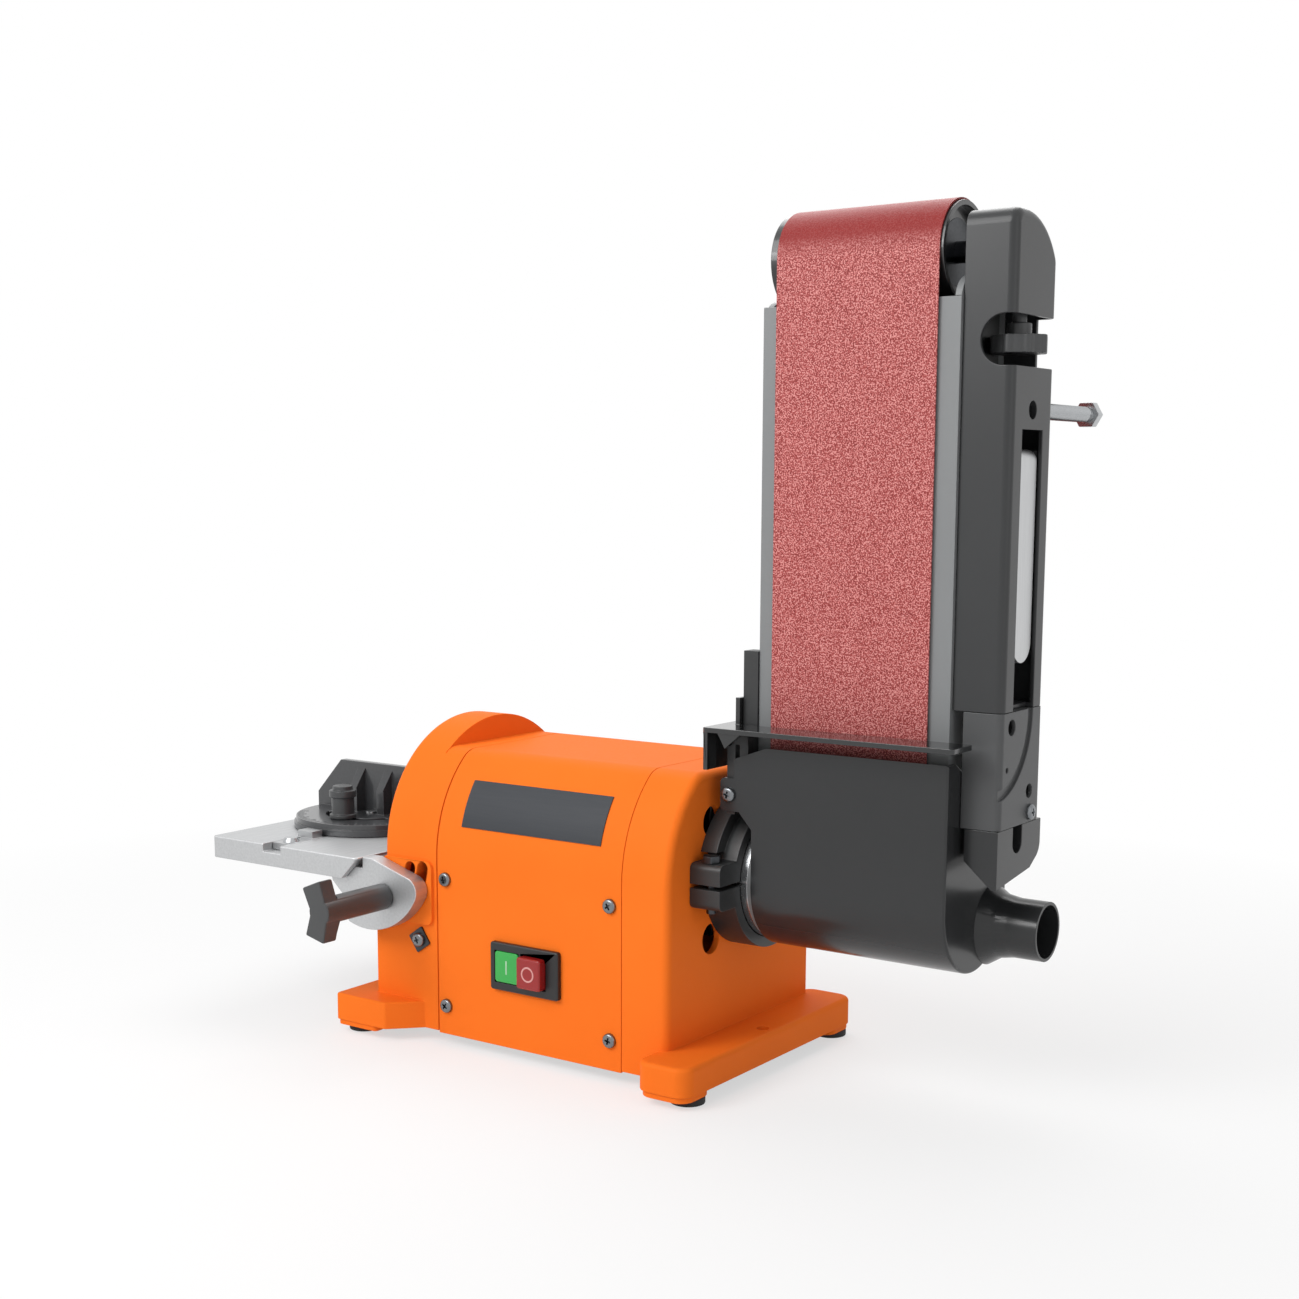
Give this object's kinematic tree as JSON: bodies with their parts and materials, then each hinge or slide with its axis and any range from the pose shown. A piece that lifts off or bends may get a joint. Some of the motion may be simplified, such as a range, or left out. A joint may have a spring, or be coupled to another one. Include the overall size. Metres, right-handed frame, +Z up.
{
  "type": "belt and disc sander",
  "caption": "Bench sander with an upright belt arm that lays back, a disc with a tilting table and mitre gauge, and a motor housing between them on rubber feet.",
  "frame": {"origin": "middle of the whole object's box, on the bench the rubber feet stand on", "axes": "+X along the motor shaft from the disc to the belt, +Y to the back, +Z up"},
  "size_m": [0.561, 0.2784, 0.5175],
  "materials": {
    "orange_paint": "satin orange paint on castings and sheet",
    "base_steel": "plain sheet steel",
    "foot_rubber": "matte black rubber",
    "bright_steel": "zinc plated",
    "label_film": "bare dark slate film",
    "black_plastic": "fine grained black plastic",
    "switch_plastic": "black moulded plastic",
    "core_steel": "stacked laminations",
    "winding_copper": "varnished copper",
    "bearing_steel": "ground steel",
    "capacitor_can": "drawn can",
    "dark_steel": "dark grey paint",
    "disc_aluminium": "turned",
    "red_abrasive": "red-brown aluminium oxide grit on cloth",
    "drum_aluminium": "turned",
    "green_plastic": "glossy green",
    "red_plastic": "glossy red",
    "frame_aluminium": "light grey",
    "platen_graphite": "graphite cloth",
    "dark_grey_cover": "satin dark grey",
    "mid_grey_cover": "satin mid grey",
    "black_gloss_paint": "glossy black",
    "roller_black": "black coated tube with bright ends",
    "lever_steel": "silver",
    "cast_aluminium": "cast and machined",
    "bar_aluminium": "drawn bar",
    "mitre_black": "black paint"
  },
  "bodies": {
    "base": {"left_casting": "orange_paint", "right_casting": "orange_paint", "motor_cover": "orange_paint", "base_plate": "base_steel", "motor_cradle": "base_steel", "rubber_feet": "foot_rubber", "foot_screws": "bright_steel", "cover_screws": "bright_steel", "label_plate": "label_film", "switch_bezel": "black_plastic", "switch_body": "switch_plastic", "stator_core": "core_steel", "stator_windings": "winding_copper", "motor_bearings": "bearing_steel", "capacitor": "capacitor_can", "cable_gland": "black_plastic", "angle_pointer": "bright_steel", "pointer_screw": "bright_steel", "clamp_collar": "dark_steel", "clamp_bolt": "dark_steel"},
    "spindle": {"motor_shaft": "bearing_steel", "rotor_core": "core_steel", "cooling_fan": "black_plastic", "disc_plate": "disc_aluminium", "sanding_disc": "red_abrasive", "drive_drum": "drum_aluminium", "drum_nut": "bearing_steel"},
    "start_button": {"start_button": "green_plastic"},
    "stop_button": {"stop_button": "red_plastic"},
    "belt_arm": {"pivot_sleeve": "bright_steel", "arm_frame": "frame_aluminium", "platen_pad": "platen_graphite", "sanding_belt": "red_abrasive", "drum_hood": "dark_grey_cover", "dust_port": "dark_grey_cover", "side_bracket": "dark_grey_cover", "side_cover": "dark_grey_cover", "lower_cover": "mid_grey_cover", "support_bolt": "bright_steel", "stop_bracket": "dark_steel", "arm_screws": "bright_steel", "lever_bracket": "dark_steel", "lever_pin": "bright_steel", "tension_spring": "bright_steel"},
    "work_stop": {"work_stop": "black_gloss_paint"},
    "idler_carriage": {"idler_carriage": "dark_steel", "idler_axle": "bearing_steel"},
    "idler": {"idler_roller": "roller_black", "idler_bearings": "bearing_steel"},
    "tension_lever": {"tension_lever": "lever_steel"},
    "tracking_knob": {"tracking_knob": "black_plastic"},
    "table": {"table": "cast_aluminium", "trunnion_front": "cast_aluminium", "trunnion_back": "cast_aluminium", "back_trunnion_bolt": "bright_steel"},
    "table_lock_knob": {"table_lock_knob": "black_plastic"},
    "mitre_bar": {"mitre_bar": "bar_aluminium", "mitre_screw": "bright_steel"},
    "mitre_head": {"mitre_head": "mitre_black"},
    "mitre_knob": {"mitre_knob": "black_plastic"}
  },
  "joints": [
    {"name": "shaft_spin", "type": "hinge", "parent": "base", "child": "spindle", "pos_m": [-0.0245, 0.01875, 0.123], "axis": [1, 0, 0], "continuous": true},
    {"name": "arm_tilt", "type": "hinge", "parent": "base", "child": "belt_arm", "pos_m": [0.0955, 0.01875, 0.123], "axis": [-1, 0, 0], "range_deg": [0, 90]},
    {"name": "start_press", "type": "slide", "parent": "base", "child": "start_button", "axis": [0, 1, 0], "range_m": [0, 0.003], "stiffness_N_per_m": 500, "springref_m": -0.002},
    {"name": "stop_press", "type": "slide", "parent": "base", "child": "stop_button", "axis": [0, 1, 0], "range_m": [0, 0.003], "stiffness_N_per_m": 500, "springref_m": -0.002},
    {"name": "stop_slide", "type": "slide", "parent": "belt_arm", "child": "work_stop", "axis": [0, -1, 0], "range_m": [0, 0.008]},
    {"name": "lever_swing", "type": "hinge", "parent": "belt_arm", "child": "tension_lever", "pos_m": [0.2605, 0.0224, 0.374], "axis": [0, -1, 0], "range_deg": [0, 90]},
    {"name": "tension_slide", "type": "slide", "parent": "belt_arm", "child": "idler_carriage", "axis": [0, 0, 1], "range_m": [-0.006, 0], "deforming": ["tension_spring"]},
    {"name": "idler_spin", "type": "hinge", "parent": "idler_carriage", "child": "idler", "pos_m": [0.1735, 0.01875, 0.4882], "axis": [1, 0, 0], "continuous": true},
    {"name": "tracking_turn", "type": "hinge", "parent": "idler_carriage", "child": "tracking_knob", "pos_m": [0.2595, 0.02175, 0.438], "axis": [0, 0, 1], "range_deg": [-180, 180]},
    {"name": "table_tilt", "type": "hinge", "parent": "base", "child": "table", "pos_m": [-0.14, 0.01875, 0.1199], "axis": [0, -1, 0], "range_deg": [0, 45]},
    {"name": "table_knob_turn", "type": "hinge", "parent": "table", "child": "table_lock_knob", "pos_m": [-0.12516, -0.12125, 0.09616], "axis": [0, 1, 0], "range_deg": [-180, 180]},
    {"name": "mitre_slide", "type": "slide", "parent": "table", "child": "mitre_bar", "axis": [0, 1, 0], "range_m": [-0.05, 0.07]},
    {"name": "mitre_angle", "type": "hinge", "parent": "mitre_bar", "child": "mitre_head", "pos_m": [-0.2225, 0.01375, 0.123], "axis": [0, 0, 1], "range_deg": [-60, 60]},
    {"name": "mitre_knob_turn", "type": "hinge", "parent": "mitre_bar", "child": "mitre_knob", "pos_m": [-0.2225, -0.01525, 0.135], "axis": [0, 0, 1], "range_deg": [-180, 180]}
  ],
  "couplings": [
    {"joint": "idler_spin", "follows": "shaft_spin", "ratio": 1},
    {"joint": "tension_slide", "follows": "lever_swing", "m_per_rad": -0.0038197}
  ]
}
